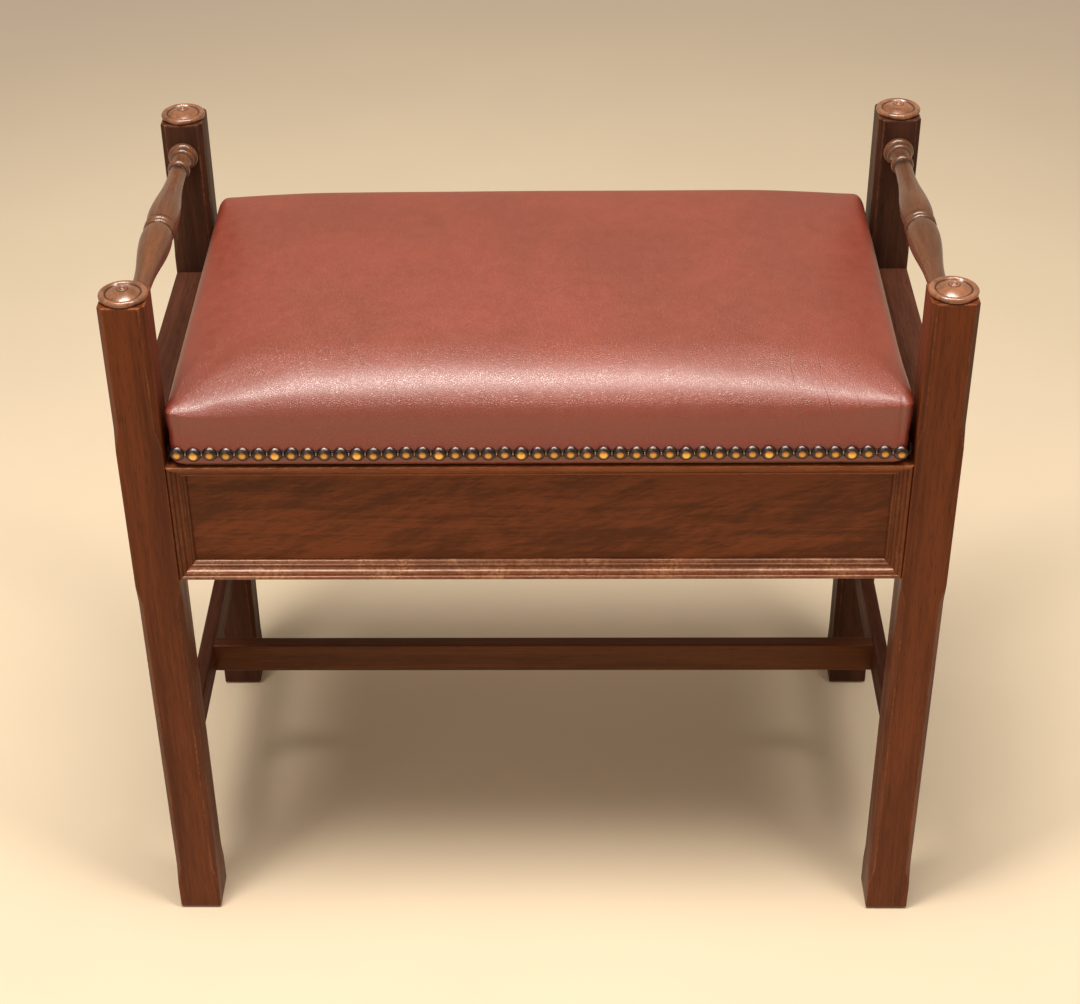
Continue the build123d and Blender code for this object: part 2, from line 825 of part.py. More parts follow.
for edge in edge_frames():
    pieces["nail_strip_" + edge] = nail_strip(edge)
    pieces["strip_nails_" + edge] = strip_nails(edge)

os.makedirs("parts", exist_ok=True)
for name, solid in pieces.items():
    export_step(solid, f"parts/{name}.step")
print(len(pieces), "pieces")
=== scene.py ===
import json
import math
import bmesh
import bpy
from mathutils import Matrix, Vector, noise


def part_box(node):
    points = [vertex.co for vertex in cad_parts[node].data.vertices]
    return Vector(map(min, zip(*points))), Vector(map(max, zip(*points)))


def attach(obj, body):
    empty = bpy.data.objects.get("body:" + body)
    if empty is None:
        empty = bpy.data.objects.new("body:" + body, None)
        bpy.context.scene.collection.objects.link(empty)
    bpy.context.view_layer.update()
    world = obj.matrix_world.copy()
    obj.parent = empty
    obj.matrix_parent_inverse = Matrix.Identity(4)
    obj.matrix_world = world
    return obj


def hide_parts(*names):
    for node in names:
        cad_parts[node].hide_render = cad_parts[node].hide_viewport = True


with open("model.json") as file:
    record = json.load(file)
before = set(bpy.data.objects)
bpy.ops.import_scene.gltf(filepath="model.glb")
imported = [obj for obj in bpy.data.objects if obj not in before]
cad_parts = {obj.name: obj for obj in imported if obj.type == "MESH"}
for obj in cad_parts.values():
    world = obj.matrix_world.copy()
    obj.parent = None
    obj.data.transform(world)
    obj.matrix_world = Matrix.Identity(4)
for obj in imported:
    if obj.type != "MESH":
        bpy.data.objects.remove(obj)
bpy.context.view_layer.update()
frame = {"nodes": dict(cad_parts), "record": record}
bodyOf = {node: body for body, nodes in frame["record"]["behaviour"]["bodies"].items() for node in nodes}
slotOf = {row["node"]: row["material_slot"] for row in frame["record"]["subparts"]}
print("frame: %d nodes" % len(frame["nodes"]))


# Camera at the photograph's viewing angle
camera = {
    "place": (0.0167, -1.4468, 1.3198),
    "pan": math.radians(-1.764),
    "tilt": math.radians(34.844),  # down from level
    "roll": math.radians(1.172),
    "focal": 2145.1,  # in pixels of the photograph
    "photo": (1080, 1004),
    "axis": (506.8, 493.0),  # pixel that the lens axis meets
    "sensor": 36,
}


def addCamera():
    data = bpy.data.cameras.new("camera")
    wide, high = camera["photo"]
    data.sensor_width = camera["sensor"]
    data.lens = camera["focal"] / wide * camera["sensor"]
    data.shift_x = (wide / 2 - camera["axis"][0]) / wide
    data.shift_y = (camera["axis"][1] - high / 2) / wide
    turn = Matrix.Rotation(-camera["pan"], 4, "Z")
    turn @= Matrix.Rotation(math.pi / 2 - camera["tilt"], 4, "X")
    turn @= Matrix.Rotation(-camera["roll"], 4, "Z")
    eye = bpy.data.objects.new("camera", data)
    eye.matrix_world = Matrix.Translation(camera["place"]) @ turn
    bpy.context.scene.collection.objects.link(eye)
    bpy.context.scene.camera = eye


addCamera()
print("camera: lens %.1f mm" % bpy.context.scene.camera.data.lens)


# Small helpers for node trees
def addNode(tree, kind, inputs=None, **settings):
    node = tree.nodes.new(kind)
    for key, value in settings.items():
        setattr(node, key, value)
    for key, value in (inputs or {}).items():
        socket = node.inputs[key]
        if isinstance(value, bpy.types.NodeSocket):
            tree.links.new(value, socket)
        else:
            socket.default_value = value
    return node


def useGroup(tree, group, inputs):
    return addNode(tree, "ShaderNodeGroup", inputs, node_tree=group).outputs


def newGroup(name, inputs, outputs):
    tree = bpy.data.node_groups.new(name, "ShaderNodeTree")
    for way, sockets in (("INPUT", inputs), ("OUTPUT", outputs)):
        for label, kind in sockets.items():
            tree.interface.new_socket(name=label, in_out=way, socket_type="NodeSocket" + kind)
    return tree, tree.nodes.new("NodeGroupInput").outputs, tree.nodes.new("NodeGroupOutput").inputs


def newMaterial(name, shader):
    material = bpy.data.materials.new(name)
    material.use_nodes = True
    tree = material.node_tree
    bsdf = tree.nodes["Principled BSDF"]
    for key, value in shader.items():
        bsdf.inputs[key].default_value = value
    return material, tree, bsdf.inputs


def calc(tree, operation, first, second, clamp=False):
    node = addNode(tree, "ShaderNodeMath", {0: first, 1: second}, operation=operation, use_clamp=clamp)
    return node.outputs[0]


def blendValues(tree, first, second, share):
    return calc(tree, "ADD", calc(tree, "MULTIPLY", first, share), calc(tree, "MULTIPLY", second, 1 - share))


def stretch(tree, vector, along):
    scale = (1, 1, along)
    return addNode(tree, "ShaderNodeVectorMath", {0: vector, 1: scale}, operation="MULTIPLY").outputs[0]


def noiseValue(tree, vector, scale, detail=3, roughness=0.55, distortion=0.0):
    values = {"Vector": vector, "Scale": scale, "Detail": detail, "Roughness": roughness}
    return addNode(tree, "ShaderNodeTexNoise", dict(values, Distortion=distortion)).outputs["Fac"]


def ramp(tree, value, low, high, start=0.0, stop=1.0):
    values = {"Value": value, 1: low, 2: high, 3: start, 4: stop}
    return addNode(tree, "ShaderNodeMapRange", values, interpolation_type="SMOOTHSTEP").outputs[0]


def mixColor(tree, factor, first, second, blend="MIX"):
    values = {0: factor, 6: first, 7: second}
    return addNode(tree, "ShaderNodeMix", values, data_type="RGBA", blend_type=blend).outputs[2]


def opaque(color):
    return (*color, 1)


def attributeValue(tree, name):
    return addNode(tree, "ShaderNodeAttribute", attribute_name=name).outputs["Fac"]


def objectPlace(tree, turn=(0, 0, 0)):
    place = addNode(tree, "ShaderNodeTexCoord").outputs["Object"]
    return addNode(tree, "ShaderNodeMapping", {"Vector": place, "Rotation": turn}).outputs[0]


def bumpNormal(tree, height, finish):
    values = {"Height": height, "Distance": finish["relief"], "Strength": finish["bump"]}
    return addNode(tree, "ShaderNodeBump", values).outputs[0]


# Wood grain running along Z: bands, streaks, open pores and slanted flames
grainPattern = {
    "bands": 70,
    "streaks": 430,
    "bandShare": 0.62,
    "flames": 36,
    "flecks": 300,
    "flameShare": 0.6,
    "slant": 0.36,
    "pores": 1700,
    "poreEdge": (0.57, 0.68),
    "poreShade": (0.35, 0.3, 0.28),
    "toneEdge": (0.32, 0.7),
    "along": {"bands": 0.05, "flames": 0.24, "flecks": 0.2, "pores": 0.045},  # drawn out along the grain
    "streakRelief": 0.35,
}


def buildWoodGrain():
    inputs = {"Place": "Vector", "Dark": "Color", "Light": "Color", "Figure": "Float", "Pores": "Float"}
    outputs = {"Color": "Color", "Grain": "Float", "Height": "Float"}
    tree, start, end = newGroup("woodGrain", inputs, outputs)
    along = grainPattern["along"]
    longGrain = stretch(tree, start["Place"], along["bands"])
    bands = noiseValue(tree, longGrain, grainPattern["bands"], distortion=0.8)
    streaks = noiseValue(tree, longGrain, grainPattern["streaks"], detail=5, roughness=0.62)
    turn = (0, grainPattern["slant"], 0)
    slant = addNode(tree, "ShaderNodeMapping", {"Vector": start["Place"], "Rotation": turn}).outputs[0]
    flames = noiseValue(tree, stretch(tree, slant, along["flames"]), grainPattern["flames"],
                        roughness=0.6, distortion=1.2)
    flecks = noiseValue(tree, stretch(tree, slant, along["flecks"]), grainPattern["flecks"],
                        detail=4, roughness=0.65)
    flames = blendValues(tree, flames, flecks, grainPattern["flameShare"])
    pores = noiseValue(tree, stretch(tree, start["Place"], along["pores"]), grainPattern["pores"],
                       detail=2, roughness=0.5)
    poreMask = calc(tree, "MULTIPLY", ramp(tree, pores, *grainPattern["poreEdge"]), start["Pores"])
    tone = blendValues(tree, bands, streaks, grainPattern["bandShare"])
    figure = calc(tree, "MULTIPLY", calc(tree, "SUBTRACT", flames, 0.5), start["Figure"])
    tone = ramp(tree, calc(tree, "ADD", tone, figure), *grainPattern["toneEdge"])
    color = mixColor(tree, tone, start["Dark"], start["Light"])
    deep = mixColor(tree, 1.0, start["Dark"], opaque(grainPattern["poreShade"]), "MULTIPLY")
    tree.links.new(mixColor(tree, poreMask, color, deep), end["Color"])
    tree.links.new(tone, end["Grain"])
    relief = calc(tree, "MULTIPLY", streaks, grainPattern["streakRelief"])
    tree.links.new(calc(tree, "SUBTRACT", relief, poreMask), end["Height"])
    return tree


# Rubbed arrises and crests, broken up, and darker hollows: partly wear and old polish, partly painted
# highlight on the crests and painted shade in the hollows
wearPattern = {
    "patches": 38,
    "patchEdge": (0.42, 0.66),
    "scuffs": 420,
    "scuffEdge": (0.3, 0.62),
    "leastWear": 0.25,
    # the next lines lighten convex crests, partly painted highlight, and darken hollows, partly painted shade
    "crest": (-0.2, -0.03),  # of the attribute hollow, which is below zero on crests
    "crestWearAndHighlight": 0.8,
    "grimeAndShade": (0.01, 0.16),
}


def buildWearShadeAndHighlight():
    inputs = {"Place": "Vector", "Edge": "Float", "Hollow": "Float"}
    tree, start, end = newGroup("wearShadeAndHighlight", inputs, {"WearAndHighlight": "Float", "GrimeAndShade": "Float"})
    patches = noiseValue(tree, start["Place"], wearPattern["patches"], detail=4, roughness=0.65)
    patches = ramp(tree, patches, *wearPattern["patchEdge"], wearPattern["leastWear"], 1.0)
    scuffs = noiseValue(tree, start["Place"], wearPattern["scuffs"], roughness=0.6)
    worn = calc(tree, "MULTIPLY", patches, ramp(tree, scuffs, *wearPattern["scuffEdge"]))
    # crests take the worn colour: partly wear, partly painted highlight
    crest = ramp(tree, start["Hollow"], *wearPattern["crest"], wearPattern["crestWearAndHighlight"], 0.0)
    edge = calc(tree, "MAXIMUM", start["Edge"], crest)
    tree.links.new(calc(tree, "MULTIPLY", worn, edge, True), end["WearAndHighlight"])
    # hollows darken: partly old polish, partly painted shade
    tree.links.new(ramp(tree, start["Hollow"], *wearPattern["grimeAndShade"]), end["GrimeAndShade"])
    return tree


# Polished hide: mottled colour, fine grain cells and a few creases
hidePattern = {
    "clouds": 9,
    "mottle": 95,
    "cloudShare": 0.7,
    "toneEdge": (0.34, 0.66),
    "cells": 780.0,
    "plateEdge": (0.0, 0.22),
    "seamShade": 0.16,
    "seamGloss": 0.6,
    "mottleGloss": 0.3,
    "foldGap": 0.0105,
    "foldWidth": 0.0005,
    "foldLean": 0.3,
    "foldSway": 0.012,
    "swayScale": 26,
    "foldReach": (0.022, 0.05),  # the creases fade out between these distances
    "breakScale": 60,
    "breakEdge": (0.4, 0.6),
    "foldShade": 0.3,
    "foldDepth": 2.2,
    "deepShade": (0.45, 0.4, 0.4),
}


def creaseMask(tree, place, middle):
    axes = addNode(tree, "ShaderNodeSeparateXYZ", {"Vector": place}).outputs
    sway = calc(tree, "SUBTRACT", noiseValue(tree, place, hidePattern["swayScale"], detail=2), 0.5)
    sway = calc(tree, "MULTIPLY", sway, hidePattern["foldSway"])
    lean = calc(tree, "ADD", calc(tree, "MULTIPLY", axes["Z"], hidePattern["foldLean"]), sway)
    lines = calc(tree, "PINGPONG", calc(tree, "ADD", axes["X"], lean), hidePattern["foldGap"])
    lines = ramp(tree, lines, 0.0, hidePattern["foldWidth"], 1.0, 0.0)
    away = addNode(tree, "ShaderNodeVectorMath", {0: place, 1: middle}, operation="DISTANCE").outputs["Value"]
    area = ramp(tree, away, *hidePattern["foldReach"], 1.0, 0.0)
    breaks = noiseValue(tree, place, hidePattern["breakScale"], detail=2)
    broken = ramp(tree, breaks, *hidePattern["breakEdge"])
    return calc(tree, "MULTIPLY", lines, calc(tree, "MULTIPLY", area, broken))


def buildLeatherHide():
    inputs = {"Place": "Vector", "Folds": "Vector", "Dark": "Color", "Light": "Color"}
    outputs = {"Color": "Color", "Gloss": "Float", "Height": "Float"}
    tree, start, end = newGroup("leatherHide", inputs, outputs)
    place = start["Place"]
    clouds = noiseValue(tree, place, hidePattern["clouds"], detail=4, distortion=0.4)
    mottle = noiseValue(tree, place, hidePattern["mottle"], detail=4, roughness=0.6)
    tone = blendValues(tree, clouds, mottle, hidePattern["cloudShare"])
    tone = ramp(tree, tone, *hidePattern["toneEdge"])
    cells = addNode(tree, "ShaderNodeTexVoronoi", {"Vector": place, "Scale": hidePattern["cells"]},
                    feature="DISTANCE_TO_EDGE").outputs["Distance"]
    plates = ramp(tree, cells, *hidePattern["plateEdge"])
    folds = creaseMask(tree, place, start["Folds"])
    color = mixColor(tree, tone, start["Dark"], start["Light"])
    seam = calc(tree, "MULTIPLY", calc(tree, "SUBTRACT", 1.0, plates), hidePattern["seamShade"])
    shade = calc(tree, "ADD", seam, calc(tree, "MULTIPLY", folds, hidePattern["foldShade"]), True)
    deep = mixColor(tree, 1.0, start["Dark"], opaque(hidePattern["deepShade"]), "MULTIPLY")
    tree.links.new(mixColor(tree, shade, color, deep), end["Color"])
    gloss = calc(tree, "MULTIPLY", mottle, hidePattern["mottleGloss"])
    gloss = calc(tree, "ADD", gloss, calc(tree, "MULTIPLY", seam, hidePattern["seamGloss"]))
    tree.links.new(gloss, end["Gloss"])
    creased = calc(tree, "MULTIPLY", folds, hidePattern["foldDepth"])
    tree.links.new(calc(tree, "SUBTRACT", plates, creased), end["Height"])
    return tree


# Patinated metal: bright where it is rubbed, dark in between; on the domes the bright crest is partly wear,
# partly a painted reflection
metalPattern = {
    "blotches": 160,
    "blotchShare": 0.35,
    "specks": 1500,
    "speckRough": 0.22,
    "brightRough": -0.1,
}


def buildAgedMetal():
    inputs = {"Place": "Vector", "Bright": "Color", "Patina": "Color", "RubbedAndHighlight": "Float"}
    tree, start, end = newGroup("agedMetal", inputs, {"Color": "Color", "Rough": "Float"})
    blotches = noiseValue(tree, start["Place"], metalPattern["blotches"], detail=4, roughness=0.6)
    specks = noiseValue(tree, start["Place"], metalPattern["specks"], detail=2, roughness=0.5)
    uneven = calc(tree, "MULTIPLY", calc(tree, "SUBTRACT", blotches, 0.5), metalPattern["blotchShare"])
    bright = calc(tree, "ADD", start["RubbedAndHighlight"], uneven, True)
    tree.links.new(mixColor(tree, bright, start["Patina"], start["Bright"]), end["Color"])
    rough = calc(tree, "MULTIPLY", specks, metalPattern["speckRough"])
    rough = calc(tree, "ADD", rough, calc(tree, "MULTIPLY", bright, metalPattern["brightRough"]))
    tree.links.new(rough, end["Rough"])
    return tree


# Plain weave, threads along X and Y
weavePattern = {"waver": 0.6, "slubs": 120, "slubShare": 0.6, "slubBase": 0.5}


def buildWeave():
    inputs = {"Place": "Vector", "Threads": "Float", "Dark": "Color", "Light": "Color"}
    tree, start, end = newGroup("plainWeave", inputs, {"Color": "Color", "Height": "Float"})
    bars = []
    for way in ("X", "Y"):
        values = {"Vector": start["Place"], "Scale": start["Threads"], "Detail": 1.0}
        values["Distortion"] = weavePattern["waver"]
        bars.append(addNode(tree, "ShaderNodeTexWave", values, bands_direction=way).outputs["Fac"])
    over = calc(tree, "MAXIMUM", *bars)
    slubs = calc(tree, "MULTIPLY", noiseValue(tree, start["Place"], weavePattern["slubs"]),
                 weavePattern["slubShare"])
    tone = calc(tree, "MULTIPLY", over, calc(tree, "ADD", slubs, weavePattern["slubBase"]), True)
    tree.links.new(mixColor(tree, tone, start["Dark"], start["Light"]), end["Color"])
    tree.links.new(over, end["Height"])
    return tree


woodGrain = buildWoodGrain()
wearShadeAndHighlight = buildWearShadeAndHighlight()
leatherHide = buildLeatherHide()
agedMetal = buildAgedMetal()
plainWeave = buildWeave()
print("shader groups: %d" % len(bpy.data.node_groups))


# Wood finishes
polishedWood = {
    "dark": (0.072, 0.0142, 0.0032),
    "light": (0.158, 0.033, 0.0076),
    "worn": (0.28, 0.09, 0.03),
    "figure": 0.2,
    "pores": 0.5,
    "wear": 0.55,
    # colour and share of the darkening in hollows: partly old polish, partly painted shade
    "sootAndShade": (0.016, 0.006, 0.003),
    "grimeAndShade": 0.85,
    "rough": 0.4,
    "grainRough": (0.08, -0.06),  # added in dark and in light grain
    "coat": 0.05,
    "coatRough": 0.18,
    "gloss": 0.22,
    "tint": (1, 0.78, 0.58),  # amber of the polish
    "relief": 0.00012,
    "bump": 0.5,
}
shadedWood = dict(  # dulled polish, and painted shade: darker for parts that stand in shade
    polishedWood, dark=(0.036, 0.0135, 0.0075), light=(0.078, 0.0275, 0.015), gloss=0.1, coat=0.0, rough=0.5)
# the side rails get a somewhat lighter copy of it, still painted shade
sideRailWoodPaintedShade = dict(shadedWood, dark=(0.052, 0.017, 0.009), light=(0.108, 0.035, 0.018))
# painted shade: a darker copy of the polished wood for the stretchers under the stool
stretcherWoodPaintedShade = dict(polishedWood, dark=(0.058, 0.0142, 0.0036), light=(0.104, 0.026, 0.0056))
panelWood = dict(polishedWood, dark=(0.08, 0.0185, 0.0042), light=(0.168, 0.037, 0.009), figure=1.3)
mouldingWood = dict(
    polishedWood, worn=(0.4, 0.17, 0.075), wear=0.85, coat=0.12, coatRough=0.14, gloss=0.48, rough=0.26)
uprightWood = dict(mouldingWood, worn=(0.27, 0.095, 0.036), wear=0.45, coat=0.04, gloss=0.25)
# painted light: a lighter copy of the moulding wood for the top moulding, whose upper face is lit
topMouldingWoodPaintedLight = dict(uprightWood, dark=(0.125, 0.0285, 0.0064), light=(0.27, 0.064, 0.0165))
turnedWood = dict(
    polishedWood, dark=(0.07, 0.024, 0.01), light=(0.155, 0.052, 0.02), worn=(0.34, 0.17, 0.09),
    coat=0.55, coatRough=0.19, rough=0.28, gloss=0.5)
# painted highlight: a lighter copy of the turned wood, with lighter worn crests, for the lit roundel tops
roundelWoodPaintedHighlight = dict(
    turnedWood, dark=(0.11, 0.038, 0.016), light=(0.29, 0.11, 0.05), worn=(0.5, 0.28, 0.17), coat=0.7)
innerWood = dict(
    polishedWood, dark=(0.3, 0.17, 0.08), light=(0.5, 0.32, 0.17), worn=(0.5, 0.34, 0.2),
    coat=0.0, rough=0.62, pores=0.35)
grainTurns = {
    "z": (0, 0, 0),
    "x": (0, math.pi / 2, 0),
    "y": (math.pi / 2, 0, 0),
}


def coatedShader(finish):
    return {
        "Coat Weight": finish["coat"],
        "Coat Roughness": finish["coatRough"],
        "Specular IOR Level": finish["gloss"],
        "Specular Tint": opaque(finish["tint"]),
    }


def woodMaterial(name, finish, along):
    material, tree, inputs = newMaterial(name, coatedShader(finish))
    place = objectPlace(tree, grainTurns[along])
    grain = useGroup(tree, woodGrain, {
        "Place": place,
        "Dark": opaque(finish["dark"]),
        "Light": opaque(finish["light"]),
        "Figure": finish["figure"],
        "Pores": finish["pores"],
    })
    age = useGroup(tree, wearShadeAndHighlight, {
        "Place": place,
        "Edge": attributeValue(tree, "wornEdge"),
        "Hollow": attributeValue(tree, "hollow"),
    })
    # worn colour on arrises and crests, the crests partly painted highlight; then darkening in hollows,
    # partly painted shade
    rubbedAndHighlight = calc(tree, "MULTIPLY", age["WearAndHighlight"], finish["wear"])
    color = mixColor(tree, rubbedAndHighlight, grain["Color"], opaque(finish["worn"]))
    grimeAndShade = calc(tree, "MULTIPLY", age["GrimeAndShade"], finish["grimeAndShade"])
    tree.links.new(mixColor(tree, grimeAndShade, color, opaque(finish["sootAndShade"])), inputs["Base Color"])
    darkRough, lightRough = (finish["rough"] + change for change in finish["grainRough"])
    tree.links.new(ramp(tree, grain["Grain"], 0.0, 1.0, darkRough, lightRough), inputs["Roughness"])
    tree.links.new(bumpNormal(tree, grain["Height"], finish), inputs["Normal"])
    return material


woodFinishes = {  # finish, and the way that its grain runs
    "postWood": (polishedWood, "z"),
    "longRailWood": (polishedWood, "x"),
    "backPostWoodPaintedShade": (shadedWood, "z"),
    "sideRailWoodPaintedShade": (sideRailWoodPaintedShade, "y"),
    "stretcherWoodPaintedShade": (stretcherWoodPaintedShade, "x"),
    "panelWood": (panelWood, "x"),
    "mouldingAcrossWood": (mouldingWood, "x"),
    "mouldingTopWoodPaintedLight": (topMouldingWoodPaintedLight, "x"),
    "mouldingUprightWood": (uprightWood, "z"),
    "turnedRailWood": (turnedWood, "y"),
    "roundelWoodPaintedHighlight": (roundelWoodPaintedHighlight, "z"),
    "innerWoodAcross": (innerWood, "x"),
    "innerWoodDeep": (innerWood, "y"),
}
woodStarts = (  # the first line that fits the start of a node's name counts
    ("post_back", "backPostWoodPaintedShade"),
    ("post_", "postWood"),
    ("cross_stretcher", "stretcherWoodPaintedShade"),
    (("side_rail", "side_stretcher", "lid_bearer"), "sideRailWoodPaintedShade"),
    (("moulding_left", "moulding_right"), "mouldingUprightWood"),
    ("moulding_top", "mouldingTopWoodPaintedLight"),
    ("moulding_bottom", "mouldingAcrossWood"),
    ("hand_rail", "turnedRailWood"),
    ("roundel", "roundelWoodPaintedHighlight"),
    ("front_rail", "panelWood"),
    (("floor_cleat_left", "floor_cleat_right", "lid_member_left", "lid_member_right"), "innerWoodDeep"),
    (("compartment_floor", "floor_cleat", "lid_member"), "innerWoodAcross"),
    ("back_rail", "longRailWood"),
)
woods = {name: woodMaterial(name, finish, along) for name, (finish, along) in woodFinishes.items()}


def woodFor(node):
    return next(woods[wood] for start, wood in woodStarts if node.startswith(start))


def paint(node, material):
    materials = frame["nodes"][node].data.materials
    materials.clear()
    materials.append(material)


def addPiece(name, bm, material, node):
    mesh = bpy.data.meshes.new(name)
    bm.to_mesh(mesh)
    bm.free()
    mesh.materials.append(material)
    piece = bpy.data.objects.new(name, mesh)
    bpy.context.scene.collection.objects.link(piece)
    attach(piece, bodyOf[node])
    return piece


# Wooden pieces: the CAD shape, welded, with eased arrises that can wear
softEdge = {
    "weld": 0.00002,
    "flat": math.radians(0.6),
    "crisp": math.radians(24),
    "width": 0.0008,
    "mouldingWidth": 0.0003,
    "segments": 2,
    "shortest": 0.006,  # shorter edges, as round holes have, stay as they are
    "shade": math.radians(40),  # wood and cloth are shaded sharp past this
    "softShade": math.radians(60),  # and leather and domes past this
}


def markSharp(bm, angle):
    for face in bm.faces:
        face.smooth = True
    for edge in bm.edges:
        edge.smooth = len(edge.link_faces) == 2 and edge.calc_face_angle(0) < angle


def weldedCopy(node):
    bm = bmesh.new()
    bm.from_mesh(frame["nodes"][node].data)
    bmesh.ops.remove_doubles(bm, verts=bm.verts, dist=softEdge["weld"])
    return bm


def easeEdges(bm, width):
    bmesh.ops.dissolve_limit(bm, angle_limit=softEdge["flat"], verts=bm.verts, edges=bm.edges)
    worn = bm.faces.layers.float.new("wornEdge")
    crisp = [
        edge for edge in bm.edges
        if len(edge.link_faces) == 2
        and edge.calc_face_angle(0) > softEdge["crisp"]
        and edge.calc_length() > softEdge["shortest"]
    ]
    eased = bmesh.ops.bevel(bm, geom=crisp, offset=width, affect="EDGES", segments=softEdge["segments"],
                            profile=0.5, material=-1, clamp_overlap=True)
    for face in eased["faces"]:
        face[worn] = 1.0


def markHollows(bm):
    bm.normal_update()
    hollow = bm.verts.layers.float.new("hollow")
    for vert in bm.verts:
        ways = [(edge.other_vert(vert).co - vert.co).normalized() for edge in vert.link_edges]
        vert[hollow] = sum(way.dot(vert.normal) for way in ways) / len(ways)


def addWoodPiece(node, width, hollows):
    bm = weldedCopy(node)
    if width:
        easeEdges(bm, width)
    markSharp(bm, softEdge["shade"])
    if hollows:
        markHollows(bm)
    piece = addPiece(node + "_finish", bm, woodFor(node), node)
    piece.modifiers.new("faceNormals", "WEIGHTED_NORMAL").keep_sharp = True
    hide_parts(node)


easedStarts = ("post_", "side_rail", "side_stretcher", "cross_stretcher", "back_rail", "lid_bearer",
               "compartment_floor", "floor_cleat")
easedNodes = sorted(node for node in frame["nodes"] if node.startswith(easedStarts))
turnedNodes = sorted(node for node in frame["nodes"] if node.startswith(("hand_rail", "roundel", "moulding")))
for node in easedNodes:
    addWoodPiece(node, softEdge["width"], False)
for node in turnedNodes:
    addWoodPiece(node, softEdge["mouldingWidth"] if node.startswith("moulding") else 0, True)
for node in frame["nodes"]:  # plain CAD pieces that keep their shape
    if slotOf[node] in ("panel_wood", "inner_wood") and node not in easedNodes:
        paint(node, woodFor(node))
print("wood: %d eased, %d turned or moulded" % (len(easedNodes), len(turnedNodes)))


# Leather seat
seatLeather = {
    "dark": (0.186, 0.0255, 0.0104),
    "light": (0.23, 0.0325, 0.0145),
    "rough": 0.19,
    "gloss": 0.95,
    "coat": 0.5,
    "coatRough": 0.37,
    "tint": (1, 0.88, 0.78),
    "relief": 0.0004,
    "bump": 0.45,
    "folds": (0.2, -0.155, 0.505),  # middle of the patch of fine creases
    "lowShade": (0.185, 0.004, 0.0006),  # painted shade: deeper colour towards the lower edge
    "lowShadeShare": 0.85,
    "lowShadeHeight": (0.4505, 0.51),
}


def leatherMaterial():
    material, tree, inputs = newMaterial("seatLeather", coatedShader(seatLeather))
    place = objectPlace(tree)
    hide = useGroup(tree, leatherHide, {
        "Place": place,
        "Folds": seatLeather["folds"],
        "Dark": opaque(seatLeather["dark"]),
        "Light": opaque(seatLeather["light"]),
    })
    height = addNode(tree, "ShaderNodeSeparateXYZ", {"Vector": place}).outputs["Z"]
    # painted shade: the leather darkens towards its lower edge and along its walls
    lowShade = ramp(tree, height, *seatLeather["lowShadeHeight"], seatLeather["lowShadeShare"], 0.0)
    tree.links.new(mixColor(tree, lowShade, hide["Color"], opaque(seatLeather["lowShade"])), inputs["Base Color"])
    tree.links.new(calc(tree, "ADD", hide["Gloss"], seatLeather["rough"]), inputs["Roughness"])
    tree.links.new(bumpNormal(tree, hide["Height"], seatLeather), inputs["Normal"])
    return material


seatPad = {
    "cells": (72, 44),
    "ring": 0.04,  # lid's underside to the top of the walls
    "tip": {"left": 0.004, "right": 0.0085},  # front corners stand this much higher
    "tipReach": {"left": 0.014, "right": 0.05},
    "roll": {"end": 0.01, "front": 0.054, "back": 0.017},  # how far the rolled edges reach in
    "endRise": {"front": 0.11, "back": 0.105},  # from the end roll the top goes on rising this far
    "endShare": {"front": 0.36, "back": 0.83},  # share of the height at the end roll
    "dome": {"front": 0.0305, "back": 0.0281},
    "crown": 0.004,
    "cornerRound": 0.009,
    "wallRows": 13,
    "turn": 0.009,  # softened band where walls and top meet
    "turnStop": 0.03,  # and how far it stays from the ends
    "turnSteps": 10,
    "board": 0.0215,  # height of the walls that the lid frame backs
    "swell": (0.0018, -0.0005),  # ends stand out over the board, front and back are drawn in
    "dents": {"depth": 0.0007, "across": 3.1, "deep": 1.9, "seed": 0.4, "reach": 0.1},
    "pleat": {"inset": 0.008, "width": 0.0012, "reach": 0.0048, "depth": 0.001, "edge": 0.006},
    "pleatFade": (-0.004, 0.006),  # from below the board's top to above it
    "turnUnder": 0.018,
    "leather": 0.0015,
    "cut": 0.0002,  # slope of the leather's cut edge
    "lowerGap": 0.0014,  # shadow gap over the rails
    "lowerRound": 0.0036,
    "lowerSteps": 4,
}
leatherCloth = {
    "frames": 20,
    "cap": 0.0009,  # no point of the seat moves further than this
    "rules": {
        "quality": 4,
        "mass": 0.4,
        "tension_stiffness": 40,
        "compression_stiffness": 40,
        "bending_stiffness": 4,
        "use_pressure": True,
        "uniform_pressure_force": 4.0,
        "vertex_group_mass": "held",
    },
}
seatLow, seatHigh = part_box("leather_cover")
seatHalf = (seatHigh - seatLow) / 2
seatMiddle = (seatLow + seatHigh) / 2


def smoothStep(value, low, high):
    share = min(max((value - low) / (high - low), 0), 1)
    return share * share * (3 - 2 * share)


def rolledEdge(inward, reach):
    return math.sqrt(1 - (1 - min(inward / reach, 1)) ** 2)


def frontToBack(sizes, place):
    return sizes["front"] + (sizes["back"] - sizes["front"]) * (place + 1) / 2


def endProfile(inward, place):
    slope = 1 - (1 - min(inward / frontToBack(seatPad["endRise"], place), 1)) ** 2
    share = frontToBack(seatPad["endShare"], place)
    return share * rolledEdge(inward, seatPad["roll"]["end"]) + (1 - share) * slope


def roundedCorner(x, y):
    keep = seatPad["cornerRound"]
    overX = max(abs(x) - seatHalf.x + keep, 0) / keep
    overY = max(abs(y) - seatHalf.y + keep, 0) / keep
    inX = keep * overX * (1 - math.sqrt(1 - overY**2 / 2))
    inY = keep * overY * (1 - math.sqrt(1 - overX**2 / 2))
    return x - math.copysign(inX, x), y - math.copysign(inY, y)


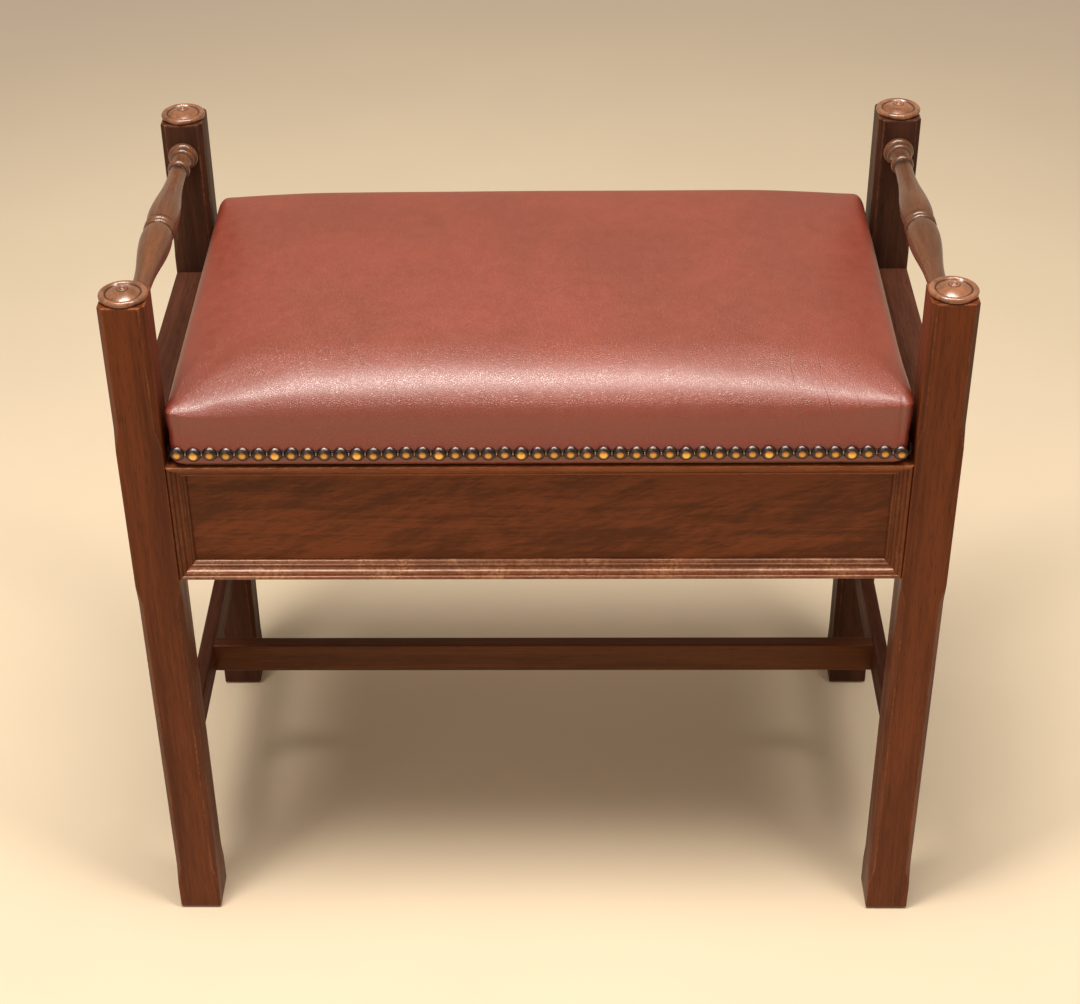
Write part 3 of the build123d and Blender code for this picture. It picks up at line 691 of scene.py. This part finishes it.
def seatHeight(shareX, shareY):
    inX, inY = seatHalf.x * (1 - abs(shareX)), seatHalf.y * (1 - abs(shareY))
    rise = frontToBack(seatPad["dome"], shareY) + seatPad["crown"] * (1 - shareX**2) * (1 - shareY**2)
    rise *= endProfile(inX, shareY) * rolledEdge(inY, seatPad["roll"]["front" if shareY < 0 else "back"])
    corner = "left" if shareX < 0 else "right"
    tip = (shareY < 0) * seatPad["tip"][corner] * math.exp(-((inX + inY) / seatPad["tipReach"][corner]) ** 2)
    dents = seatPad["dents"]
    dent = noise.noise(Vector((shareX * dents["across"], shareY * dents["deep"], dents["seed"])))
    dent *= dents["depth"] * rolledEdge(inX, dents["reach"]) * rolledEdge(inY, dents["reach"])
    return seatPad["ring"] + tip + rise + dent


def seatTop(bm):
    bmesh.ops.create_grid(bm, x_segments=seatPad["cells"][0], y_segments=seatPad["cells"][1], size=1)
    for vert in bm.verts:
        shareX, shareY = (math.sin(share * math.pi / 2) for share in vert.co.xy)  # cells crowd at the edges
        x, y = roundedCorner(shareX * seatHalf.x, shareY * seatHalf.y)
        vert.co = (seatMiddle.x + x, seatMiddle.y + y, seatLow.z + seatHeight(shareX, shareY))


def openRim(bm):
    return [edge for edge in bm.edges if edge.is_boundary]


def extrudeRim(bm):
    made = bmesh.ops.extrude_edge_only(bm, edges=openRim(bm))["geom"]
    return [item for item in made if isinstance(item, bmesh.types.BMVert)]


def drawIn(bm, height, inward):
    for vert in extrudeRim(bm):
        vert.co.z = height
        for axis in (0, 1):
            vert.co[axis] -= (vert.co[axis] - seatMiddle[axis]) / seatHalf[axis] * inward


def seatForm():
    bm = bmesh.new()
    seatTop(bm)
    for left in range(seatPad["wallRows"], 0, -1):
        for vert in extrudeRim(bm):
            vert.co.z -= (vert.co.z - seatLow.z) / left
    for vert in bm.verts:
        above = smoothStep(vert.co.z - seatLow.z, seatPad["board"], seatPad["ring"])
        for axis, swell in enumerate(seatPad["swell"]):
            vert.co[axis] += (vert.co[axis] - seatMiddle[axis]) / seatHalf[axis] * swell * above
    turn = [
        vert for vert in bm.verts
        if abs(vert.co.z - seatLow.z - seatPad["ring"]) < seatPad["turn"]
        and seatHalf.x - abs(vert.co.x - seatMiddle.x) > seatPad["turnStop"]
    ]
    for step in range(seatPad["turnSteps"]):
        bmesh.ops.smooth_vert(bm, verts=turn, factor=0.5, use_axis_y=True, use_axis_z=True)
    bmesh.ops.contextual_create(bm, geom=openRim(bm))
    bmesh.ops.recalc_face_normals(bm, faces=bm.faces)
    mesh = bpy.data.meshes.new("seatForm")
    bm.to_mesh(mesh)
    bm.free()
    form = bpy.data.objects.new("seatForm", mesh)
    bpy.context.scene.collection.objects.link(form)
    return form


def freeze(form):
    graph = bpy.context.evaluated_depsgraph_get()
    mesh = bpy.data.meshes.new_from_object(form.evaluated_get(graph))
    form.modifiers.clear()
    form.data = mesh


def inflate(form):
    held = form.vertex_groups.new(name="held")
    boardTop = seatLow.z + seatPad["board"]
    held.add([v.index for v in form.data.vertices if v.co.z < boardTop], 1.0, "REPLACE")
    before = [v.co.copy() for v in form.data.vertices]
    cloth = form.modifiers.new("leatherCloth", "CLOTH")
    for key, value in leatherCloth["rules"].items():
        setattr(cloth.settings, key, value)
    cloth.settings.effector_weights.gravity = 0
    cloth.collision_settings.use_collision = False
    cloth.point_cache.frame_start = 1
    cloth.point_cache.frame_end = leatherCloth["frames"]
    scene = bpy.context.scene
    for step in range(1, leatherCloth["frames"] + 1):
        scene.frame_set(step)
    freeze(form)
    scene.frame_set(1)
    cap = leatherCloth["cap"]
    moved = []
    for vert, old in zip(form.data.vertices, before):
        move = vert.co - old
        moved.append(move.length)
        vert.co = old + move * cap / (cap + move.length)
    moved.sort()
    most, middle = moved[-1], moved[len(moved) // 2]
    print("seat: cloth moved %.1f mm at most, middle %.1f" % (most * 1000, middle * 1000))


def pleatCorners(form):
    pleat = seatPad["pleat"]
    for vert in form.data.vertices:
        across = abs(vert.co.x) - (seatHalf.x - pleat["inset"])
        out = vert.co.y - seatMiddle.y
        if abs(out) > seatHalf.y - pleat["edge"] and abs(across) < pleat["reach"]:
            above = smoothStep(vert.co.z - seatLow.z - seatPad["board"], *seatPad["pleatFade"])
            fold = pleat["depth"] * math.exp(-((across / pleat["width"]) ** 2)) * above
            vert.co.y -= math.copysign(fold, out)


def closeUnderside(bm):
    curve = seatPad["lowerRound"]
    lowest = seatLow.z + seatPad["lowerGap"]
    everything = bm.verts[:] + bm.edges[:] + bm.faces[:]
    bmesh.ops.bisect_plane(bm, geom=everything, plane_co=(0, 0, lowest + curve), plane_no=(0, 0, -1),
                           clear_outer=True)
    inward = 0
    for step in range(1, seatPad["lowerSteps"] + 1):
        angle = step / seatPad["lowerSteps"] * math.pi / 2
        reached = curve * (1 - math.cos(angle))
        drawIn(bm, lowest + curve * (1 - math.sin(angle)), reached - inward)
        inward = reached
    drawIn(bm, lowest, seatPad["turnUnder"] - curve)
    drawIn(bm, lowest + seatPad["leather"], seatPad["cut"])
    bmesh.ops.contextual_create(bm, geom=openRim(bm))
    bmesh.ops.recalc_face_normals(bm, faces=bm.faces)


def addSeat():
    form = seatForm()
    inflate(form)
    bm = bmesh.new()
    bm.from_mesh(form.data)
    bottom = [face for face in bm.faces if len(face.verts) > 4]  # only the cloth needed it
    bmesh.ops.delete(bm, geom=bottom, context="FACES_ONLY")
    bm.to_mesh(form.data)
    bm.clear()
    finer = form.modifiers.new("finer", "SUBSURF")
    finer.levels = finer.render_levels = 1
    freeze(form)
    pleatCorners(form)
    bm.from_mesh(form.data)
    bpy.data.objects.remove(form)
    closeUnderside(bm)
    markSharp(bm, softEdge["softShade"])
    seat = addPiece("leather_seat", bm, leatherMaterial(), "leather_cover")
    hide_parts("leather_cover", "stuffing")
    print("seat: %d faces" % len(seat.data.polygons))


addSeat()


# Metals
bronze = {
    "bright": (0.72, 0.36, 0.07),
    "patina": (0.06, 0.043, 0.04),
    "crest": (0.68, 0.96),
    # the bright crest is partly wear, partly a painted reflection
    "rubbedAndHighlight": (0.0, 0.95),  # off the crest and on it
    "rough": 0.24,
    "coat": 0.3,
    "coatRough": 0.2,
}
brass = dict(bronze, bright=(0.9, 0.5, 0.11), crest=(0.58, 0.92), rubbedAndHighlight=(0.0, 1.1))
hinges = dict(
    bronze, bright=(0.66, 0.48, 0.2), patina=(0.2, 0.14, 0.07), rubbedAndHighlight=(0.5, 1.0), rough=0.3, coat=0.0)


def metalMaterial(name, metal):
    shader = {"Metallic": 1.0, "Coat Weight": metal["coat"], "Coat Roughness": metal["coatRough"]}
    material, tree, inputs = newMaterial(name, shader)
    aged = useGroup(tree, agedMetal, {
        "Place": objectPlace(tree),
        "Bright": opaque(metal["bright"]),
        "Patina": opaque(metal["patina"]),
        # bright spot on the dome's crest: partly wear, partly painted reflection
        "RubbedAndHighlight": ramp(tree, attributeValue(tree, "crest"), *metal["crest"], *metal["rubbedAndHighlight"]),
    })
    tree.links.new(aged["Color"], inputs["Base Color"])
    tree.links.new(calc(tree, "ADD", aged["Rough"], metal["rough"]), inputs["Roughness"])
    return material


stripBronze = metalMaterial("stripBronze", bronze)
nailBrass = metalMaterial("nailBrass", brass)
hingeBrass = metalMaterial("hingeBrass", hinges)
for node in frame["nodes"]:
    if slotOf[node] in ("hinge_brass", "screw_brass"):
        paint(node, hingeBrass)
print("metals: hinges and screws done")


# Nail strip round the lid
nailStrip = {
    "domeRadius": 0.0057,
    "domeHeight": 0.0032,
    "pitch": 0.0119,
    "nailEvery": 5,
    "nailStart": 1,
    "bandHeight": 0.006,
    "bandThick": 0.0005,
    "linkRadius": 0.0011,
    "sides": 16,
    "rings": 8,
    "uneven": 0.001,
    "wander": (90, 7, 5),
}


def domeMesh(name, radius, height):
    bm = bmesh.new()
    bmesh.ops.create_uvsphere(bm, u_segments=nailStrip["sides"], v_segments=nailStrip["rings"], radius=1)
    everything = bm.verts[:] + bm.edges[:] + bm.faces[:]
    bmesh.ops.bisect_plane(bm, geom=everything, plane_co=(0, 0, 0), plane_no=(0, 0, -1), clear_outer=True)
    bmesh.ops.contextual_create(bm, geom=openRim(bm))
    crest = bm.verts.layers.float.new("crest")
    for vert in bm.verts:
        vert[crest] = max(vert.co.z, 0) ** 2
    outward = Matrix.Rotation(math.pi / 2, 4, "X") @ Matrix.Diagonal((radius, radius, height, 1))
    bmesh.ops.transform(bm, matrix=outward, verts=bm.verts)
    bmesh.ops.recalc_face_normals(bm, faces=bm.faces)
    markSharp(bm, softEdge["softShade"])
    mesh = bpy.data.meshes.new(name)
    bm.to_mesh(mesh)
    bm.free()
    return mesh


def stamp(bm, mesh, matrix):
    count = len(bm.verts)
    bm.from_mesh(mesh)
    bm.verts.ensure_lookup_table()
    bmesh.ops.transform(bm, matrix=matrix, verts=bm.verts[count:])


def stripPlaces(edge):
    low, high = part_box("nail_strip_" + edge)
    along = 0 if edge in ("front", "back") else 1
    span = high[along] - low[along] - 2 * nailStrip["domeRadius"]
    steps = round(span / nailStrip["pitch"])
    middle = (low + high) / 2
    faces = {"front": seatLow.y, "back": seatHigh.y, "left": seatLow.x, "right": seatHigh.x}
    middle[1 - along] = faces[edge]
    turn = {"front": 0, "right": math.pi / 2, "back": math.pi, "left": -math.pi / 2}[edge]
    base = Matrix.Translation(middle) @ Matrix.Rotation(turn, 4, "Z")
    return base, [span * (index / steps - 0.5) for index in range(steps + 1)]


def unevenRise(x, middle):
    scaleX, middleX, middleY = nailStrip["wander"]
    return nailStrip["uneven"] * noise.noise(Vector((x * scaleX, middle.x * middleX, middle.y * middleY)))


def addNailStrip(edge, dome, link):
    base, places = stripPlaces(edge)
    strip = bmesh.new()
    nails = bmesh.new()
    thick = nailStrip["bandThick"]
    reach = places[-1] - places[0] + nailStrip["bandHeight"]
    band = Matrix.Translation((0, -thick / 2, 0))
    band @= Matrix.Diagonal((reach, thick, nailStrip["bandHeight"], 1))
    bmesh.ops.create_cube(strip, size=1, matrix=base @ band)
    for index, x in enumerate(places):
        up = unevenRise(x, base.translation)
        if index % nailStrip["nailEvery"] == nailStrip["nailStart"]:
            stamp(nails, dome, base @ Matrix.Translation((x, -thick, up)))
        else:
            stamp(strip, dome, base @ Matrix.Translation((x, 0, up)))
        if index:
            between = (x + places[index - 1]) / 2
            stamp(strip, link, base @ Matrix.Translation((between, -thick, 0)))
    for node, bm, material in (("nail_strip_", strip, stripBronze), ("strip_nails_", nails, nailBrass)):
        piece = addPiece(node + edge + "_finish", bm, material, node + edge)
        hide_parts(node + edge)


domeShape = domeMesh("dome", nailStrip["domeRadius"], nailStrip["domeHeight"])
linkShape = domeMesh("link", nailStrip["linkRadius"], nailStrip["linkRadius"])
for edge in ("front", "right", "back", "left"):
    addNailStrip(edge, domeShape, linkShape)
print("nail strip: 4 edges")


# Cloth under the lid with its tacks, and the webbing above it
lining = {
    "dark": (0.02, 0.018, 0.016),
    "light": (0.07, 0.062, 0.055),
    "threads": 260.0,
    "rough": 0.9,
    "relief": 0.0002,
    "bump": 0.6,
    "cells": (24, 14),
    "thick": 0.0006,
}
jute = {
    "dark": (0.26, 0.18, 0.09),
    "light": (0.52, 0.4, 0.23),
    "threads": 120.0,
    "rough": 0.9,
    "relief": 0.0004,
    "bump": 0.6,
}
tacks = {"radius": 0.0028, "height": 0.0009, "inset": 0.006, "pitch": 0.045}


def weaveMaterial(name, cloth):
    material, tree, inputs = newMaterial(name, {"Roughness": cloth["rough"]})
    weave = useGroup(tree, plainWeave, {
        "Place": objectPlace(tree),
        "Threads": cloth["threads"],
        "Dark": opaque(cloth["dark"]),
        "Light": opaque(cloth["light"]),
    })
    tree.links.new(weave["Color"], inputs["Base Color"])
    tree.links.new(bumpNormal(tree, weave["Height"], cloth), inputs["Normal"])
    return material


def addLining():
    low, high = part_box("underside_lining")
    size = high - low
    bm = bmesh.new()
    bmesh.ops.create_grid(bm, x_segments=lining["cells"][0], y_segments=lining["cells"][1], size=0.5)
    place = Matrix.Translation((low + high) / 2) @ Matrix.Diagonal((size.x, size.y, 1, 1))
    bmesh.ops.transform(bm, matrix=place, verts=bm.verts)
    bmesh.ops.solidify(bm, geom=bm.faces[:], thickness=lining["thick"])
    markSharp(bm, softEdge["shade"])
    cloth = addPiece("lining_cloth", bm, weaveMaterial("liningCloth", lining), "underside_lining")
    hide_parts("underside_lining")


def addTacks():
    low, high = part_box("underside_lining")
    middle = (low + high) / 2
    reach = (high - low) / 2 - Vector((tacks["inset"], tacks["inset"], 0))
    head = domeMesh("tack", tacks["radius"], tacks["height"])
    downward = Matrix.Rotation(math.pi / 2, 4, "X")
    bm = bmesh.new()
    for along, way in ((0, 1), (1, -1)):  # each row stops short of the next row's corner
        steps = round(2 * reach[along] / tacks["pitch"])
        for side in (-1, 1):
            for index in range(steps):
                place = middle.copy()
                place[along] += side * way * reach[along] * (2 * index / steps - 1)
                place[1 - along] += side * reach[1 - along]
                stamp(bm, head, Matrix.Translation(place) @ downward)
    addPiece("lining_tacks", bm, nailBrass, "strip_nails_front")


addLining()
addTacks()
juteWebbing = weaveMaterial("juteWebbing", jute)
for node in ("webbing_across", "webbing_along"):
    paint(node, juteWebbing)
print("lining, tacks and webbing done")


# Stage: pale floor that turns into the backdrop, soft light from above and in front
stage = {
    "floorSize": 60,
    "floor": (0.8, 0.62, 0.41),
    "floorRough": 0.85,
    "mottle": 3.0,
    "mottleEdge": (0.3, 0.7),
    "mottleShade": 0.97,
    "light": (0.25, 0.243, 0.233),
    "backdrop": (0.48, 0.365, 0.268),
    "fade": (1.2, 2.6),  # the floor turns into the backdrop between these distances
}
lamps = {
    "key": {"place": (-0.3, -0.4, 2.6), "aim": (-0.05, 0, 0.42), "size": (0.9, 1.8), "power": 16},
    "leftSpot": {"place": (-0.5, -0.48, 2.5), "aim": (0, -0.1, 0.42), "size": (0.4, 1.3), "power": 39},
    "rightSpot": {"place": (0.5, -0.48, 2.5), "aim": (0, -0.1, 0.42), "size": (0.4, 1.3), "power": 31},
    "fill": {"place": (-1.3, -2.7, 1.5), "aim": (0, 0, 0.35), "size": (2.0, 1.6), "power": 12},
}


def backdropSeen(tree):
    path = addNode(tree, "ShaderNodeLightPath").outputs
    bounced = calc(tree, "MAXIMUM", path["Is Glossy Ray"], path["Is Transmission Ray"])
    return calc(tree, "MAXIMUM", path["Is Camera Ray"], bounced)


def floorMaterial():
    material, tree, inputs = newMaterial("paleFloor", {"Roughness": stage["floorRough"]})
    place = objectPlace(tree)
    tone = ramp(tree, noiseValue(tree, place, stage["mottle"]), *stage["mottleEdge"])
    shade = [value * stage["mottleShade"] for value in stage["floor"]]
    tree.links.new(mixColor(tree, tone, opaque(shade), opaque(stage["floor"])), inputs["Base Color"])
    away = addNode(tree, "ShaderNodeVectorMath", {0: place}, operation="LENGTH").outputs["Value"]
    far = calc(tree, "MULTIPLY", ramp(tree, away, *stage["fade"]), backdropSeen(tree))
    glow = addNode(tree, "ShaderNodeEmission", {"Color": opaque(stage["backdrop"])}).outputs[0]
    surface = tree.nodes["Principled BSDF"].outputs[0]
    both = addNode(tree, "ShaderNodeMixShader", {0: far, 1: surface, 2: glow}).outputs[0]
    tree.links.new(both, tree.nodes["Material Output"].inputs["Surface"])
    return material


def addFloor():
    bm = bmesh.new()
    bmesh.ops.create_grid(bm, x_segments=1, y_segments=1, size=stage["floorSize"] / 2)
    mesh = bpy.data.meshes.new("floor")
    bm.to_mesh(mesh)
    bm.free()
    mesh.materials.append(floorMaterial())
    floor = bpy.data.objects.new("floor", mesh)
    bpy.context.scene.collection.objects.link(floor)


def addLamp(name, lamp):
    data = bpy.data.lights.new(name, "AREA")
    data.shape = "RECTANGLE"
    data.size, data.size_y = lamp["size"]
    data.energy = lamp["power"]
    light = bpy.data.objects.new(name, data)
    aim = Vector(lamp["aim"]) - Vector(lamp["place"])
    light.matrix_world = Matrix.Translation(lamp["place"]) @ aim.to_track_quat("-Z", "Y").to_matrix().to_4x4()
    bpy.context.scene.collection.objects.link(light)


def addWorld():
    world = bpy.data.worlds.new("studio")
    bpy.context.scene.world = world
    world.use_nodes = True
    tree = world.node_tree
    color = mixColor(tree, backdropSeen(tree), opaque(stage["light"]), opaque(stage["backdrop"]))
    tree.links.new(color, tree.nodes["Background"].inputs["Color"])


addFloor()
for name, lamp in lamps.items():
    addLamp(name, lamp)
addWorld()
bpy.context.scene.view_settings.view_transform = "Standard"
print("stage: %d lamps" % len(lamps))
